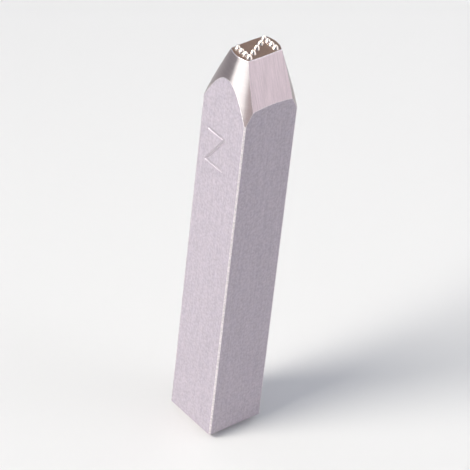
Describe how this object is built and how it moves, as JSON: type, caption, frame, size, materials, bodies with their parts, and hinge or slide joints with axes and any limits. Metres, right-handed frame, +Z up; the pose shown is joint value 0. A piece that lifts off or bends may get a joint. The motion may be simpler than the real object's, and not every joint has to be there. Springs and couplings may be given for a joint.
{
  "type": "steel letter punch",
  "caption": "Square steel hand punch with a cone-turned, flank-ground nose that carries a raised, mirrored, dotted letter on its small face.",
  "frame": {"origin": "centre of the flat striking end, which the punch stands on", "axes": "+Z up along the punch from the striking end to the character; -Y towards the side that bears the engraved letter and towards the foot of the character; +X and -X out through the ground flanks"},
  "size_m": [0.01, 0.01, 0.07],
  "materials": {
    "punch_steel": "bright ground tool steel, satin, with grinding lines on the flanks"
  },
  "bodies": {
    "root": {"letter_punch": "punch_steel"}
  },
  "joints": []
}
